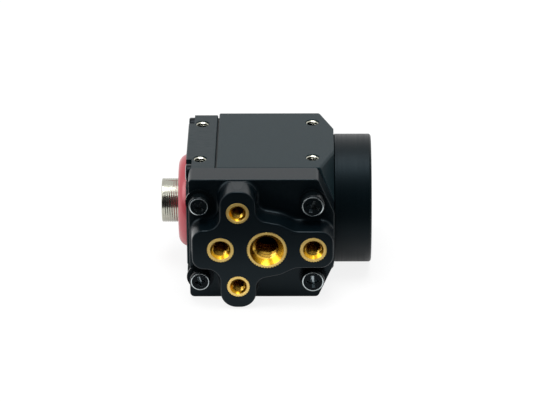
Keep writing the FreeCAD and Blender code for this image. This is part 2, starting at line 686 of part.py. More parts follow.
def connector_pins():
    """Contact pins, from inside the shell to the rear board."""
    return group([bar(PIN_RADIUS, X_SOCKET - PIN_REACH, X_INTERFACE_BOARD, y, z)
                  for y, z in pin_places()])


# -------------------------------------------------------- tripod plate
def boss_outline():
    """Corners and radii of the cross-shaped boss, clockwise from its left end."""
    behind = X_UPRIGHT - UPRIGHT_WIDTH / 2
    ahead = X_UPRIGHT + UPRIGHT_WIDTH / 2
    top = HALF - BOSS_END_INSET
    shoulder = TRIPOD_OUTER + SHOULDER_MARGIN
    upper = [
        (X_TRIPOD - BOSS_REAR_END, REAR_ARM_HALF, REAR_ARM_ROUND),
        (behind, REAR_ARM_HALF, REAR_ARM_FILLET),
        (behind, top, UPRIGHT_ROUND),
        (ahead, top, UPRIGHT_ROUND),
        (ahead, shoulder + SHOULDER_RISE, SHOULDER_FILLET),
        (X_TRIPOD + SHOULDER_END, shoulder, SHOULDER_ROUND),
        (X_TRIPOD + FRONT_ARM_START, FRONT_ARM_WIDTH / 2, SHOULDER_ROUND),
        (X_TRIPOD + BOSS_FRONT_END, FRONT_ARM_WIDTH / 2, FRONT_ARM_ROUND)]
    lower = [(x, -z, radius) for x, z, radius in reversed(upper)]
    corners = [(x, z) for x, z, radius in upper + lower]
    radii = [radius for x, z, radius in upper + lower]
    return corners, radii


def turns_inward(corners, i):
    """True where a clockwise outline turns the concave way."""
    here = corners[i]
    before = corners[i - 1]
    after = corners[(i + 1) % len(corners)]
    cross = (here[0] - before[0]) * (after[1] - here[1]) - (here[1] - before[1]) * (after[0] - here[0])
    return cross > 0


def boss():
    """Drafted boss, standing a little way into the plate."""
    corners, radii = boss_outline()
    wires = []
    for y, offset in ((Y_PLATE + 1, BOSS_DRAFT), (Y_BOSS, 0.0)):
        sizes = [r - offset if turns_inward(corners, i) else r + offset
                 for i, r in enumerate(radii)]
        wires.append(rounded_loop(grown(corners, offset), sizes, facing_plate(y)))
    return Part.makeLoft(wires, True, True)


def plate_outline():
    """Plate outline, with its front corners cut back, clockwise."""
    step = HALF - CORNER_CUT_SIDE
    cut = X_FRONT - PLATE_CUT_LENGTH
    corners = [(X_PLATE, -HALF), (X_PLATE, HALF), (cut, HALF),
               (X_FRONT, step), (X_FRONT, -step), (cut, -HALF)]
    radii = [PLATE_CORNER, PLATE_CORNER, PLATE_CORNER, 2 * PLATE_CORNER, 2 * PLATE_CORNER, PLATE_CORNER]
    return corners, radii


def insert_places():
    """Name, X, Z, outer radius, bore radius and depth of each threaded insert."""
    rear_m4 = X_TRIPOD - M4_OFFSET
    front_m4 = X_TRIPOD + M4_OFFSET
    return [
        ("tripod_insert", X_TRIPOD, 0.0, TRIPOD_OUTER, TRIPOD_BORE, TRIPOD_DEPTH),
        ("m4_insert_rear", rear_m4, 0.0, M4_OUTER, M4_BORE, M4_INSERT_DEPTH),
        ("m4_insert_front", front_m4, 0.0, M4_OUTER, M4_BORE, M4_INSERT_DEPTH),
        ("m3_insert_upper", X_UPRIGHT, M3_INSERT_Z, M3_OUTER, M3_CREST, M3_INSERT_DEPTH),
        ("m3_insert_lower", X_UPRIGHT, -M3_INSERT_Z, M3_OUTER, M3_CREST, M3_INSERT_DEPTH)]


def screw_places():
    """X and Z of the four plate screws."""
    return [(x, side * SIDE_HOLE) for x in (X_REAR_HOLES, X_FRONT_HOLES) for side in (-1, 1)]


def tripod_plate():
    """Moulded plate with the raised boss that holds the inserts."""
    slab = Part.makeBox(-X_REAR + BODY_SIDE, PLATE_THICK, 2 * BODY_SIDE,
                        V(X_REAR - HALF, Y_PLATE, -BODY_SIDE))
    body = slab.fuse(boss()).removeSplitter()
    foot = [e for e in body.Edges
            if abs(e.BoundBox.YMin - Y_PLATE) < 1e-4 and abs(e.BoundBox.YMax - Y_PLATE) < 1e-4
            and e.BoundBox.XMin > X_PLATE - 5 and e.BoundBox.XMax < X_FRONT + 5
            and e.BoundBox.ZMax < HALF + 5 and e.BoundBox.ZMin > -HALF - 5]
    body = body.makeFillet(BOSS_FOOT, foot)
    rim = [e for e in body.Edges if abs(e.BoundBox.YMax - Y_BOSS) < 1e-4]
    body = body.makeFillet(BOSS_EDGE, rim)
    corners, radii = plate_outline()
    outline = Part.Face(rounded_loop(corners, radii, facing_plate(-HALF)))
    plate = outline.extrude(V(0, -PLATE_THICK, 0))
    front_rim = [e for e in plate.Edges if abs(e.BoundBox.YMax - Y_PLATE) < 1e-4]
    plate = plate.makeFillet(PLATE_EDGE, front_rim)
    smaller = [r - PLATE_EDGE for r in radii]
    inner = rounded_loop(grown(corners, -PLATE_EDGE), smaller, facing_plate(Y_PLATE))
    above = Part.Face(inner).extrude(V(0, -BOSS_HEIGHT, 0))
    body = fused([plate, body.common(above)])
    tools = []
    for name, x, z, outer, bore, depth in insert_places():
        tools.append(cylinder(outer, V(x, Y_BOSS, z), V(x, Y_BOSS + depth, z)))
    for x, z in screw_places():
        tools.append(cylinder(M3_RADIUS + SCREW_ROOM, V(x, Y_PLATE, z), V(x, -HALF, z)))
    return body.cut(tools).removeSplitter()


def threaded_insert(x, z, outer, bore, depth):
    """Brass insert, flush with the boss, with a chamfered mouth."""
    wall = outer - bore
    profile = [V(bore, 0, 0), V(outer, 0, 0), V(outer, 0, depth - INSERT_EDGE),
               V(outer - INSERT_EDGE, 0, depth), V(outer - wall * 0.5, 0, depth),
               V(bore, 0, depth - wall * 0.5), V(bore, 0, 0)]
    turned_body = Part.Face(Part.makePolygon(profile)).revolve(V(0, 0, 0), Z_AXIS, 360)
    return placed(turned_body, V(x, Y_BOSS + depth, z), -Y_AXIS)


def plate_washers():
    """Small flat washers under the plate screws."""
    washers = []
    for x, z in screw_places():
        seat = V(x, Y_PLATE, z)
        top = V(x, Y_PLATE - WASHER_THICK, z)
        washers.append(cylinder(WASHER_OUTER, seat, top).cut(
            cylinder(M3_RADIUS + SCREW_ROOM, seat, top)))
    return group(washers)


def plate_screws():
    """Four M3 screws through the plate into the housings' side holes."""
    length = WASHER_THICK + PLATE_THICK + M3_GRIP
    screw = pan_screw(M3_CREST, M3_HEAD, M3_HEAD_THICK, length, M3_HEAD_THICK * RECESS_DEPTH)
    return group([placed(screw, V(x, Y_PLATE - WASHER_THICK, z), -Y_AXIS)
                  for x, z in screw_places()])


# --------------------------------------------------------------- output
def build():
    """Every sub-part by name."""
    stud = BOARD_THICK + M2_STUD
    parts = {
        "front_housing": front_housing(),
        "lens_mount_ring": lens_mount_ring(),
        "filter_seal": filter_seal(),
        "filter_glass": filter_glass(),
        "sensor_package": sensor_package(),
        "sensor_die": sensor_die(),
        "sensor_cover_glass": sensor_cover_glass(),
        "sensor_board": board(X_SENSOR_BOARD),
        "front_standoffs": standoffs(X_SENSOR_BACK, FRONT_STANDOFF, stud),
        "processor_board": board(X_PROCESSOR_BOARD),
        "image_processor": image_processor(),
        "memory_chip_left": memory_chip(-1),
        "memory_chip_right": memory_chip(1),
        "rear_standoffs": standoffs(X_PROCESSOR_BACK, REAR_STANDOFF, stud),
        "interface_board": interface_board(),
        "power_inductor_left": power_inductor(-1),
        "power_inductor_right": power_inductor(1),
        "board_screws": board_screws(),
        "front_link_plug": link_plug(X_SENSOR_BACK, FRONT_STANDOFF, 1),
        "front_link_socket": link_socket(X_SENSOR_BACK, FRONT_STANDOFF, 1),
        "rear_link_plug": link_plug(X_PROCESSOR_BACK, REAR_STANDOFF, -1),
        "rear_link_socket": link_socket(X_PROCESSOR_BACK, REAR_STANDOFF, -1),
        "housing_gasket": housing_gasket(),
        "rear_housing": rear_housing(),
        "rear_screws": rear_screws(),
        "back_cap": back_cap(),
        "connector_seal": connector_seal(),
        "connector_shell": connector_shell(),
        "connector_ring": connector_ring(),
        "connector_insulator": connector_insulator(),
        "connector_pins": connector_pins(),
        "tripod_plate": tripod_plate(),
        "plate_washers": plate_washers(),
        "plate_screws": plate_screws()}
    for name, x, z, outer, bore, depth in insert_places():
        parts[name] = threaded_insert(x, z, outer, bore, depth)
    return parts


os.makedirs("parts", exist_ok=True)
for name, shape in build().items():
    print("%-20s solids %d  volume %9.2f  valid %s" % (
        name, len(shape.Solids), shape.Volume, shape.isValid()))
    shape.exportStep("parts/%s.step" % name)
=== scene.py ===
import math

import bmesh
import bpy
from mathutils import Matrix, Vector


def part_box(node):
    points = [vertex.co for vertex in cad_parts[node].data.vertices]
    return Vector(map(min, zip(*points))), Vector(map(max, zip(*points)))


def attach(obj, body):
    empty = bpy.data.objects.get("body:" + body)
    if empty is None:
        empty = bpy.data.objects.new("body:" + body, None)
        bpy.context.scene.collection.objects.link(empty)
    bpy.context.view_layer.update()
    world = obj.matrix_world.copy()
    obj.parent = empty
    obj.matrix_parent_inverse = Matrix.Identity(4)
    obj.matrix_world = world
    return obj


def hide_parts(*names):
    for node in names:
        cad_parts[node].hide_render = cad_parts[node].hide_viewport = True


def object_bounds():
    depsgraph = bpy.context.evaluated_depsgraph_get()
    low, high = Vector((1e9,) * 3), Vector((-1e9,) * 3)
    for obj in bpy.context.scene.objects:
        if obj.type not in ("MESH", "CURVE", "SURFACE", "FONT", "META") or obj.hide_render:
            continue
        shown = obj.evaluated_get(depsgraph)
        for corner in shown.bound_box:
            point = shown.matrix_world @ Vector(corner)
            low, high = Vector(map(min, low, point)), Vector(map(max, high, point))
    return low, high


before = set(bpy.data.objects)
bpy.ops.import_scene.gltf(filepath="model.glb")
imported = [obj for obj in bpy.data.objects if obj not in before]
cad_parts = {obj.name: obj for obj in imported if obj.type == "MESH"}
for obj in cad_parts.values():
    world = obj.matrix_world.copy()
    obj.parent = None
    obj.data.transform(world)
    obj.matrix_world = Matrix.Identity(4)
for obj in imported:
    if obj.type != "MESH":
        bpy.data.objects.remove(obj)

# %% [markdown]
# # Machine vision camera
# A cube camera for inspection machines lies on its side. Its metal body, boards and screws come from
# the CAD frame, which is loaded above and never moved. This file dresses it: every CAD piece gets
# its real finish. The turned pieces and the screws, whose fine threads, knurls and cross recesses
# the CAD leaves plain, are built again in more detail.

MM = 0.001  # Blender works in metres, and the sizes below are written in millimetres
CAD_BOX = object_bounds()
HOUSING_LOW, HOUSING_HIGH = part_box("front_housing")
print("body section %.1f mm" % ((HOUSING_HIGH.z - HOUSING_LOW.z) / MM))

# %% [markdown]
# ## Camera
# Small products are usually shown through a long lens from some way off, so that their edges stay
# nearly parallel. This one looks at the side with the tripod plate, from a little above. A Track To
# constraint could aim it, but it always keeps the view level. So the camera is set on three axes of
# its own, forward, right and up, and a slight roll turns the last two.

# %% Camera
CAMERA_AZIMUTH = math.radians(0.82)
CAMERA_ELEVATION = math.radians(26.307)
CAMERA_ROLL = math.radians(0.48)
CAMERA_DISTANCE = 700 * MM
CAMERA_TARGET = Vector((-23.387, 0, -0.838)) * MM
FOCAL_LENGTH = 207.45  # Blender keeps a camera's lens and sensor in millimetres, not in metres
SENSOR_WIDTH = 36
NEAR_LIMIT = 10 * MM  # nothing closer to the lens than this is drawn


def add_camera():
    """Long-lens camera, aimed at the target with a slight roll."""
    level = math.cos(CAMERA_ELEVATION)
    forward = Vector((-math.sin(CAMERA_AZIMUTH) * level, math.cos(CAMERA_AZIMUTH) * level,
                      -math.sin(CAMERA_ELEVATION)))
    right = forward.cross(Vector((0, 0, 1))).normalized()
    up = right.cross(forward)
    rolled_right = right * math.cos(CAMERA_ROLL) - up * math.sin(CAMERA_ROLL)
    rolled_up = right * math.sin(CAMERA_ROLL) + up * math.cos(CAMERA_ROLL)
    data = bpy.data.cameras.new("studio_camera")
    data.lens = FOCAL_LENGTH
    data.sensor_width = SENSOR_WIDTH
    data.clip_start = NEAR_LIMIT
    camera = bpy.data.objects.new("studio_camera", data)
    bpy.context.scene.collection.objects.link(camera)
    turn = Matrix((rolled_right, rolled_up, -forward)).transposed()
    place = CAMERA_TARGET - forward * CAMERA_DISTANCE
    camera.matrix_world = Matrix.Translation(place) @ turn.to_4x4()
    bpy.context.scene.camera = camera
    print("camera at", [round(v, 3) for v in place])


add_camera()

# %% [markdown]
# ## Nodes and colours
# A finish in Blender is a small tree of shader nodes. It could be drawn by hand in the shader
# editor, but a script can be read, changed and run again. One helper adds a node with its settings
# and links. Another turns hex colours, which follow the eye, into the linear numbers with which a
# renderer counts light. The third starts a material from one Principled shader.


# %% Helpers for finishes
def add(tree, kind, inputs=None, **settings):
    """Adds a node. Settings are its own properties, inputs are values or outputs to link."""
    node = tree.nodes.new(kind)
    for name, value in settings.items():
        setattr(node, name, value)
    for name, value in (inputs or {}).items():
        if isinstance(value, bpy.types.NodeSocket):
            tree.links.new(value, node.inputs[name])
        else:
            node.inputs[name].default_value = value
    return node


def linear(hex_colour):
    """Linear RGBA of an sRGB hex colour. The sRGB curve is a line near black and a power above."""
    channels = [int(hex_colour[i:i + 2], 16) / 255 for i in (0, 2, 4)]
    return tuple(c / 12.92 if c <= 0.04045 else ((c + 0.055) / 1.055) ** 2.4
                 for c in channels) + (1.0,)


def finish(name, colour, roughness, **sockets):
    """New material with one Principled shader. Returns the material, its tree and the shader."""
    material = bpy.data.materials.new(name)
    material.use_nodes = True
    tree = material.node_tree
    shader = tree.nodes["Principled BSDF"]
    shader.inputs["Base Color"].default_value = linear(colour)
    shader.inputs["Roughness"].default_value = roughness
    for socket, value in sockets.items():
        shader.inputs[socket.replace("_", " ")].default_value = value
    return material, tree, shader


print("middle grey 808080 is %.3f of white" % linear("808080")[0])

# %% [markdown]
# ## Tool marks
# Blasting leaves dimples, a cutter leaves lines, a lathe leaves rings and a mould its own texture.
# Such marks could come from an image or from real dents in the mesh. Here they are noise in the
# shader, because noise needs no file and can be sized from the real marks in millimetres. The same
# noise changes the roughness and tilts the surface, since a dent does both.

# %% Tool marks
NOISE_LOW, NOISE_HIGH = 0.3, 0.7  # nearly all of a noise's values lie between these


def surface_point(tree, stretch=(1, 1, 1)):
    """Position on the object in millimetres; a factor below 1 draws a pattern out on that axis."""
    position = add(tree, "ShaderNodeTexCoord").outputs["Object"]
    factors = tuple(factor / MM for factor in stretch)
    scaled = add(tree, "ShaderNodeVectorMath", {0: position, 1: factors}, operation="MULTIPLY")
    return scaled.outputs["Vector"]


def tool_marks(tree, shader, point, width, roughness, depth=0.0, detail=3.0):
    """Marks of a width and depth in millimetres, between a low and a high roughness."""
    noise = add(tree, "ShaderNodeTexNoise", {"Vector": point, "Scale": 1 / width, "Detail": detail})
    marks = noise.outputs["Fac"]
    low, high = roughness
    gloss = add(tree, "ShaderNodeMapRange", {"Value": marks, "From Min": NOISE_LOW,
                                             "From Max": NOISE_HIGH, "To Min": low, "To Max": high})
    tree.links.new(gloss.outputs["Result"], shader.inputs["Roughness"])
    if depth:
        bump = add(tree, "ShaderNodeBump", {"Height": marks, "Distance": depth * MM})
        tree.links.new(bump.outputs["Normal"], shader.inputs["Normal"])
    return marks


print("noise between %.1f and %.1f is spread over each roughness" % (NOISE_LOW, NOISE_HIGH))

# %% [markdown]
# ## Blasted housing
# The front housing is milled, blasted with glass beads and then anodised black. The dye lies in a
# clear oxide, so the face is nearly black straight on and turns grey at a low angle. A dark metal
# shows nothing but what it mirrors, so it would lose the dye's own colour. The finish is a rough
# non-metal instead. Its specular tint is a dark blue-grey, which takes down the straight-on
# reflection and leaves the low-angle one.

# %% Blasted housing
OXIDE_IOR = 1.55
OXIDE_TINT = linear("405058")
DIMPLE = 0.12  # glass beads leave dimples of about 0.08 mm, too fine to show, so they are wider here
PATCH = 2.5  # blasting and dye vary a little over a few millimetres
MIX_DARK, MIX_LIGHT, MIX_COLOUR = 6, 7, 2  # where a Mix node has its two colours and its result


def blasted_anodising():
    """Bead-blasted, black anodised: even, blue-black, grey only where it is seen at a low angle."""
    material, tree, shader = finish("bead_blasted_black_anodised_aluminium", "0D1C20", 0.42,
                                    IOR=OXIDE_IOR, Specular_Tint=OXIDE_TINT)
    point = surface_point(tree)
    tool_marks(tree, shader, point, DIMPLE, roughness=(0.36, 0.48), depth=0.006)
    patches = add(tree, "ShaderNodeTexNoise", {"Vector": point, "Scale": 1 / PATCH, "Detail": 3.0})
    dye = add(tree, "ShaderNodeMix", {"Factor": patches.outputs["Fac"], MIX_DARK: linear("0B191D"),
                                      MIX_LIGHT: linear("0F1F23")}, data_type="RGBA")
    tree.links.new(dye.outputs[MIX_COLOUR], shader.inputs["Base Color"])
    return material


HOUSING_FINISH = blasted_anodising()
print(HOUSING_FINISH.name)

# %% [markdown]
# ## Milled rear housing
# The rear housing has the same dye over a face that was only milled, so a cutter's faint parallel
# lines stay in it. An anisotropic shader could stand for them, but it needs a direction on every
# face. Noise that is drawn out along the body gives lines on all four sides at once.

# %% Milled rear housing
CUTTER_LINE = 0.25  # real lines are about 0.1 mm apart, too fine to show, so they are wider here
LINE_STRETCH = (0.12, 1, 1)  # eight times as long along the body as they are wide


def milled_anodising():
    """Face-milled, black anodised: the same dye over faint parallel cutter lines."""
    material, tree, shader = finish("milled_black_anodised_aluminium", "0B191D", 0.38,
                                    IOR=OXIDE_IOR, Specular_Tint=OXIDE_TINT)
    point = surface_point(tree, LINE_STRETCH)
    tool_marks(tree, shader, point, CUTTER_LINE, roughness=(0.32, 0.44), depth=0.004)
    return material


REAR_FINISH = milled_anodising()
print(REAR_FINISH.name)

# %% [markdown]
# ## Turned lens ring
# The lens ring is turned before it is dyed, so each facing cut leaves rings round the optical axis.
# A ring pattern could be painted, but noise makes one as well: when it only sees how far a point is
# along the axis and away from it, all the points of one circle get the same value.

# %% Turned lens ring
FEED_LINE = 0.15  # a lathe feeds about 0.05 mm a turn, too fine to show, so rings are wider here


def turned_anodising():
    """Turned, then black anodised: deep black, with fine rings that soften the light."""
    material, tree, shader = finish("turned_black_anodised_aluminium", "050C0F", 0.42,
                                    IOR=OXIDE_IOR, Specular_Tint=linear("485860"))
    point = surface_point(tree)
    along = add(tree, "ShaderNodeSeparateXYZ", {"Vector": point}).outputs["X"]
    across = add(tree, "ShaderNodeVectorMath", {0: point, 1: (0, 1, 1)}, operation="MULTIPLY")
    radius = add(tree, "ShaderNodeVectorMath", {0: across.outputs["Vector"]}, operation="LENGTH")
    track = add(tree, "ShaderNodeCombineXYZ", {"X": along, "Y": radius.outputs["Value"]})
    rings = tool_marks(tree, shader, track.outputs["Vector"], FEED_LINE,
                       roughness=(0.37, 0.47), depth=0.004, detail=2.0)
    dye = add(tree, "ShaderNodeMix", {"Factor": rings, MIX_DARK: linear("03090C"),
                                      MIX_LIGHT: linear("050C0F")}, data_type="RGBA")
    tree.links.new(dye.outputs[MIX_COLOUR], shader.inputs["Base Color"])
    return material


MOUNT_FINISH = turned_anodising()
print(MOUNT_FINISH.name)

# %% [markdown]
# ## Red cap
# The cap behind the body is turned from aluminium and dyed red. It could be a red metal, but then
# all of its reflections would be red. The dye lies in a clear oxide, which mirrors white light
# before the dye colours it. So this is a red coat with the high IOR of the oxide, and with only a
# tenth of the metal below it.

# %% Red cap
# Turned, red anodised: satin, deep red, and pinkish where it faces the light
RED_FINISH = finish("turned_red_anodised_aluminium", "A0323C", 0.3, IOR=1.7, Metallic=0.1)[0]
print(RED_FINISH.name)

# %% [markdown]
# ## Bright metals
# The connector's shell is brass under matt nickel, the inserts are free-cutting brass, the contacts
# are plated with gold, and the screws and standoffs inside are zinc-plated steel. A plain metal
# colour would mirror the studio too cleanly, so one helper makes them all with faint tool marks.
# Threads need more. The flank that faces the mouth of a hole catches the light, and hardly any
# light gets down to the root. The steps are too small here for that to show by itself, so it is
# painted: the chamfer's deeper gold stands for light bounced in the hole, the lit flank gets a
# painted highlight and the root painted shade.

# %% Nickel, brass, zinc and gold
SPREAD = 0.05  # the marks take the roughness up and down by this much


def bright_metal(name, colour, roughness, width, depth):
    """Metal with tool marks. Real ones are some 0.05 mm wide, and are drawn wider so as to show."""
    material, tree, shader = finish(name, colour, roughness, Metallic=1.0)
    tool_marks(tree, shader, surface_point(tree), width,
               (roughness - SPREAD, roughness + SPREAD), depth)
    return material


# Matt nickel gives a soft, slightly warm grey gleam
NICKEL_FINISH = bright_metal("matt_nickel_plated_brass", "ACACA0", 0.2, width=0.2, depth=0.003)
# Turned brass is a pale, broad yellow sheen on the rim of an insert
BRASS_FINISH = bright_metal("turned_brass", "EBCB7A", 0.46, width=0.15, depth=0.003)
# The chamfer is smoother, and its deeper, more saturated gold is painted light that stands for light
# bounced inside the hole
CHAMFER_BRASS = bright_metal("brass_chamfer_painted_bounce_light", "DBA428", 0.27, width=0.2, depth=0.002)
# Painted highlight: the flank of a brass thread that faces the mouth is a thin, bright line
PAINTED_HIGHLIGHT_BRASS = bright_metal("brass_flank_painted_highlight", "F2C050", 0.24, width=0.2, depth=0.001)
# Painted shade: the root of a brass thread is a dark brown gap between the lines
PAINTED_SHADE_BRASS = bright_metal("brass_root_painted_shade", "4A2A0A", 0.25, width=0.2, depth=0.001)
# Zinc on steel is a cool, light grey
ZINC_FINISH = bright_metal("zinc_plated_steel", "C9CBCC", 0.32, width=0.2, depth=0.003)
# Aluminium cut by a tap glitters in a dull, warm grey
BARE_ALUMINIUM = bright_metal("tapped_bare_aluminium", "B4B4A6", 0.22, width=0.15, depth=0.002)
# Gold on the contacts is smooth and yellow
GOLD_FINISH = bright_metal("gold_plated_contacts", "E8BE62", 0.2, width=0.2, depth=0.001)
print(NICKEL_FINISH.name, BRASS_FINISH.name, ZINC_FINISH.name, GOLD_FINISH.name)

# %% [markdown]
# ## Black screws
# The plate and rear screws are steel, blackened in a hot salt bath. The oxide is only about a
# micrometre thick. A ring of pale steel on the shoulder of the head is a painted highlight, and pale
# steel on the walls of the cross recess is painted to give it glints. A mask that looks for edges
# could place them, but the places are known here. So there are three finishes, and each face gets
# its own when it is made.


# %% Black oxide
def black_oxide():
    """Black-oxide steel: dark, slightly blue, and glossy enough for one clear highlight."""
    material, tree, shader = finish("black_oxide_steel", "060A0C", 0.25,
                                    IOR=1.5, Specular_Tint=linear("505860"))
    tool_marks(tree, shader, surface_point(tree), width=0.2, roughness=(0.2, 0.3))
    return material


SCREW_FINISH = black_oxide()
# A painted highlight: pale steel drawn as a ring on the shoulder of the head
PAINTED_HIGHLIGHT_RING = bright_metal("steel_ring_painted_highlight", "C8D2D4", 0.38, width=0.2, depth=0.001)
# Pale steel on the recess walls is painted to give glints, a grey that makes the cross readable
RECESS_GLINT_STEEL = bright_metal("recess_steel_painted_glints", "98A2A6", 0.28, width=0.2, depth=0.001)
print(SCREW_FINISH.name, PAINTED_HIGHLIGHT_RING.name, RECESS_GLINT_STEEL.name)

# %% [markdown]
# ## Nylon plate
# The tripod plate is moulded in black glass-filled nylon, in a mould with a fine spark-eroded
# texture. A glossy black would mirror the lamps on its whole face. This one is satin and reflects
# little, so only its rounded edges show a line of light.

# %% Nylon plate
MOULD_GRAIN = 0.15  # a spark-eroded mould has grains of 0.05 mm, too fine to show; wider here


def moulded_nylon():
    """Moulded black nylon: nearly no colour, and a satin gloss on its edges."""
    material, tree, shader = finish("moulded_black_nylon", "03090D", 0.3,
                                    IOR=1.55, Specular_Tint=linear("7C8C94"))
    point = surface_point(tree)
    tool_marks(tree, shader, point, MOULD_GRAIN, roughness=(0.27, 0.35), depth=0.003)
    return material


PLATE_FINISH = moulded_nylon()
print(PLATE_FINISH.name)

# %% [markdown]
# ## Rubber, boards, chips and glass
# The seals, boards and chips lie inside, where little of them shows. They could stay grey, but an
# opened model should look right too. Most are even surfaces, so one line with a typical colour and
# roughness is enough. Glass lets light through instead, so it gets a transmission weight.

# %% Rubber, boards, chips and glass
PLASTIC_IOR = 1.5
GLASS_IOR = 1.52
POLISHED = 0.02


def plain(name, colour, roughness):
    """Even non-metal."""
    return finish(name, colour, roughness, IOR=PLASTIC_IOR)[0]


def glass(name, colour, transmission):
    """Polished glass, nearly clear or with the faint colour of its coating."""
    return finish(name, colour, POLISHED, IOR=GLASS_IOR, Transmission_Weight=transmission)[0]


RUBBER = plain("nitrile_rubber", "141414", 0.7)  # dull black
INSULATOR = plain("glass_filled_insulator", "1B1B1C", 0.5)  # satin black
SOLDER_MASK = plain("green_solder_mask", "0E4A2C", 0.3)  # glossy dark green lacquer
CHIP = plain("moulded_chip_epoxy", "17181A", 0.5)  # satin charcoal
LINK = plain("moulded_link_nylon", "3A3733", 0.5)  # satin brown-grey
CERAMIC = plain("fired_ceramic", "4A4644", 0.45)  # stony grey
SILICON = bright_metal("polished_silicon", "50545C", 0.08, width=0.2, depth=0.0)  # dark mirror
FILTER = glass("coated_filter_glass", "C8E4E0", 0.9)  # clear with a green-blue tinge
CLEAR = glass("clear_cover_glass", "F2F4F4", 0.95)  # clear, only its gloss shows
print(RUBBER.name, SOLDER_MASK.name, SILICON.name, FILTER.name)

# %% [markdown]
# ## Dressing the CAD pieces
# Every piece of the CAD frame keeps its mesh and gets one finish. A line for each piece would do it,
# but many pieces share a finish. A table from finish to piece names is the shortest way to say it,
# and it is easy to see what is missing.

# %% Finishes for the CAD pieces
DRESS = {
    HOUSING_FINISH: ["front_housing"],
    REAR_FINISH: ["rear_housing"],
    RED_FINISH: ["back_cap"],
    NICKEL_FINISH: ["connector_ring"],
    ZINC_FINISH: ["board_screws", "front_standoffs", "rear_standoffs"],
    GOLD_FINISH: ["connector_pins"],
    SCREW_FINISH: ["plate_washers"],
    PLATE_FINISH: ["tripod_plate"],
    RUBBER: ["filter_seal", "housing_gasket", "connector_seal"],
    INSULATOR: ["connector_insulator"],
    SOLDER_MASK: ["sensor_board", "processor_board", "interface_board"],
    CHIP: ["image_processor", "memory_chip_left", "memory_chip_right",
           "power_inductor_left", "power_inductor_right"],
    LINK: ["front_link_plug", "front_link_socket", "rear_link_plug", "rear_link_socket"],
    CERAMIC: ["sensor_package"],
    SILICON: ["sensor_die"],
    FILTER: ["filter_glass"],
    CLEAR: ["sensor_cover_glass"]}


def coat(piece, material):
    """Gives a piece one material."""
    piece.data.materials.clear()
    piece.data.materials.append(material)


for material, names in DRESS.items():
    for name in names:
        coat(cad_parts[name], material)
print("dressed", sum(len(names) for names in DRESS.values()), "nodes")

# %% [markdown]
# ## Turned pieces
# The lens ring, the inserts, the connector's shell and the screws are round. A Screw modifier could
# turn a profile round an axis, but here every ring has to be free to carry a knurl or to climb as a
# thread. So each piece is a stack of rings of (radius, height) points in millimetres, joined into a
# closed skin. Paint says which material each band between two rings gets.

# %% Skins from rings
SHARP = math.radians(35)  # edges that turn by more than this stay sharp
WELD = 0.0005 * MM  # points closer than this are joined


def new_piece(name, shape, materials):
    """Object from a bmesh. Its materials come first, so that the faces keep their numbers."""
    mesh = bpy.data.meshes.new(name)
    for material in materials:
        mesh.materials.append(material)
    shape.to_mesh(mesh)
    shape.free()
    piece = bpy.data.objects.new(name, mesh)
    bpy.context.scene.collection.objects.link(piece)
    return piece


def skin(name, rings, origin, axis, materials, paint=None):
    """Closed skin through rings about an axis; the last ring joins the first.
    Paint holds, for each ring, which material the band after it gets."""
    count = len(rings[0])
    axis = Vector(axis)
    upright = abs(axis.z) > 0.5
    side = Vector((1, 0, 0)) if upright else Vector((0, 0, 1))  # where each ring starts
    turn = Matrix((side, axis.cross(side), axis)).transposed()
    shape = bmesh.new()
    grid = []
    for ring in rings:
        row = []
        for i, (radius, height) in enumerate(ring):
            angle = 2 * math.pi * i / count
            local = Vector((radius * math.cos(angle), radius * math.sin(angle), height)) * MM
            row.append(shape.verts.new(Vector(origin) + turn @ local))
        grid.append(row)
    for band, (lower, upper) in enumerate(zip(grid, grid[1:] + grid[:1])):
        for i in range(count):
            after = (i + 1) % count
            face = shape.faces.new((lower[i], lower[after], upper[after], upper[i]))
            face.material_index = paint[band] if paint else 0
    bmesh.ops.remove_doubles(shape, verts=shape.verts, dist=WELD)
    bmesh.ops.recalc_face_normals(shape, faces=shape.faces)
    piece = new_piece(name, shape, materials)
    piece.data.shade_smooth()
    piece.data.set_sharp_from_angle(angle=SHARP)
    return piece


print("edges above %.0f degrees stay sharp" % math.degrees(SHARP))

# %% [markdown]
# ## Circles, rounded edges and seats
# Most rings are plain circles, and most outer edges of a turned piece are rounded by a quarter of a
# circle. A Bevel modifier could round them after the skin is made, but it would round the threads
# too. So the rounding is drawn as rings of its own. Each finished piece then has to say where it
# rides and which CAD nodes it takes the place of.


# %% Circles, rounded edges and seats
def circles(count, *points):
    """Plain rings of a number of points, one ring for each (radius, height)."""
    return [[point] * count for point in points]


def rounded(count, radius, height, edge, steps):
    """Rings round a quarter-circle edge, from a piece's side to its end."""
    rings = []
    for step in range(steps + 1):
        angle = math.radians(90 * step / steps)
        rings += circles(count, (radius - edge + edge * math.cos(angle),
                                 height - edge + edge * math.sin(angle)))
    return rings


def seat(piece, slot, *nodes):
    """Fixes a piece to the body and hides the CAD nodes that it stands for. Its finish slot is not
    used.
    """
    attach(piece, "root")
    if nodes:
        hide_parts(*nodes)
    print(piece.name, len(piece.data.polygons), "faces")


print("a rounded edge of 4 steps has", len(rounded(8, 1.0, 1.0, 0.2, 4)), "rings")

# %% [markdown]
# ## Threads
# A thread climbs round its axis by one pitch a turn. It could be cut with a helix and a Boolean,
# which is slow and easily leaves holes. Here it is part of the skin: every ring climbs by a pitch and
# steps back to its start, and four rings to a pitch draw root, flank, crest and flank. Points past
# an end of the thread are held at that end, so the thread is cut off square, as a real one is.

# %% Threads
THREAD_FLAT = 0.12  # share of the pitch that is flat at the root, and again at the crest
SPARE_TURNS = 2  # turns past the ends, which fold flat there and close the thread
RINGS_PER_PITCH = 4


